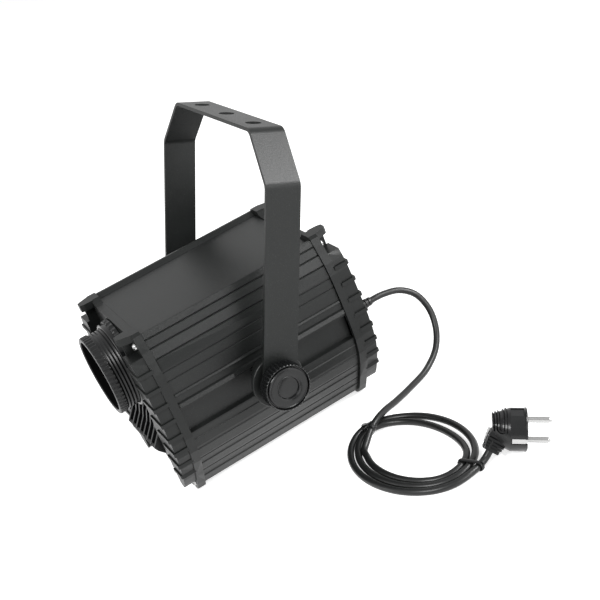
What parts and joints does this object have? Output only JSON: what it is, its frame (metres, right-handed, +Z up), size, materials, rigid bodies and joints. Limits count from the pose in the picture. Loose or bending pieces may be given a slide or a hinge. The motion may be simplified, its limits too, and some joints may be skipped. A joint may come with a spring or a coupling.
{
  "type": "stage light",
  "caption": "Compact stage spotlight in a finned black housing with a screw-focus lens, a tilting yoke with two clamp knobs, and a coiled mains cord with a round earthed plug.",
  "frame": {"origin": "centre of the light's bounding box across and along, without its cord, at the height of the flat feet of its two end caps", "axes": "+X to the right across the light, the lens faces -Y, +Z up"},
  "size_m": [0.3773, 0.2953, 0.2857],
  "materials": {
    "powder_coat": "fine-textured satin black powder coat",
    "cast_black": "satin black paint on a casting",
    "black_metal": "satin black anodised metal",
    "black_plastic": "satin black plastic",
    "black_rubber": "satin black flexible sheath",
    "bright_steel": "bright plated steel",
    "bare_aluminium": "bare metal",
    "lens_glass": "clear polished glass",
    "board_white": "white",
    "emitter_yellow": "yellow phosphor"
  },
  "bodies": {
    "housing": {"side_shell_right": "powder_coat", "side_shell_left": "powder_coat", "top_cover": "powder_coat", "bottom_cover": "powder_coat", "front_cap": "cast_black", "rear_cap": "cast_black", "front_screw_1": "bright_steel", "front_screw_2": "bright_steel", "front_screw_3": "bright_steel", "front_screw_4": "bright_steel", "rear_screw_1": "bright_steel", "rear_screw_2": "bright_steel", "rear_screw_3": "bright_steel", "rear_screw_4": "bright_steel", "lens_mount": "cast_black", "front_grille": "black_metal", "chassis": "bare_aluminium", "gate_plate": "black_metal", "condenser_holder": "black_metal", "condenser_lens": "lens_glass", "heat_sink": "bare_aluminium", "led_board": "board_white", "led_emitter": "emitter_yellow", "driver": "black_metal", "terminal_block": "board_white", "cable_gland": "black_plastic", "gland_locknut": "black_plastic", "gland_nut": "black_plastic", "strain_relief": "black_rubber", "pivot_spacer_right": "cast_black", "pivot_spacer_left": "cast_black", "pivot_nut_right": "bright_steel", "pivot_nut_left": "bright_steel", "cord_run": "black_rubber", "cord_coil": "black_rubber", "cord_tail": "black_rubber", "tie_inner": "black_plastic", "tie_outer": "black_plastic", "plug_body": "black_plastic", "plug_pin_1": "bright_steel", "plug_pin_2": "bright_steel", "earth_contact_1": "bright_steel", "earth_contact_2": "bright_steel"},
    "yoke": {"yoke_bracket": "powder_coat"},
    "washer_right": {"pivot_washer_right": "bright_steel"},
    "knob_right": {"tilt_knob_right": "black_plastic", "pivot_stud_right": "bright_steel"},
    "washer_left": {"pivot_washer_left": "bright_steel"},
    "knob_left": {"tilt_knob_left": "black_plastic", "pivot_stud_left": "bright_steel"},
    "lens_group": {"front_lens": "lens_glass", "front_lens_ring": "black_metal", "rear_lens": "lens_glass", "rear_lens_ring": "black_metal"},
    "focus_ring": {"focus_tube": "black_metal"}
  },
  "joints": [
    {"name": "yoke_tilt", "type": "hinge", "parent": "housing", "child": "yoke", "pos_m": [0, 0.0012, 0.094], "axis": [1, 0, 0], "range_deg": [-80, 120]},
    {"name": "knob_travel_right", "type": "slide", "parent": "housing", "child": "washer_right", "axis": [1, 0, 0], "range_m": [0, 0.00126]},
    {"name": "knob_turn_right", "type": "hinge", "parent": "washer_right", "child": "knob_right", "pos_m": [0.1133, 0.0012, 0.094], "axis": [1, 0, 0], "range_deg": [0, 360]},
    {"name": "knob_travel_left", "type": "slide", "parent": "housing", "child": "washer_left", "axis": [-1, 0, 0], "range_m": [0, 0.00126]},
    {"name": "knob_turn_left", "type": "hinge", "parent": "washer_left", "child": "knob_left", "pos_m": [-0.1133, 0.0012, 0.094], "axis": [-1, 0, 0], "range_deg": [0, 360]},
    {"name": "lens_travel", "type": "slide", "parent": "housing", "child": "lens_group", "axis": [0, -1, 0], "range_m": [-0.00451, 0.00901]},
    {"name": "focus_turn", "type": "hinge", "parent": "lens_group", "child": "focus_ring", "pos_m": [0, -0.0868, 0.124], "axis": [0, -1, 0], "range_deg": [-180, 360]}
  ],
  "couplings": [
    {"joint": "knob_travel_right", "follows": "knob_turn_right", "m_per_rad": 0.00019894},
    {"joint": "knob_travel_left", "follows": "knob_turn_left", "m_per_rad": 0.00019894},
    {"joint": "lens_travel", "follows": "focus_turn", "m_per_rad": 0.0014324}
  ]
}
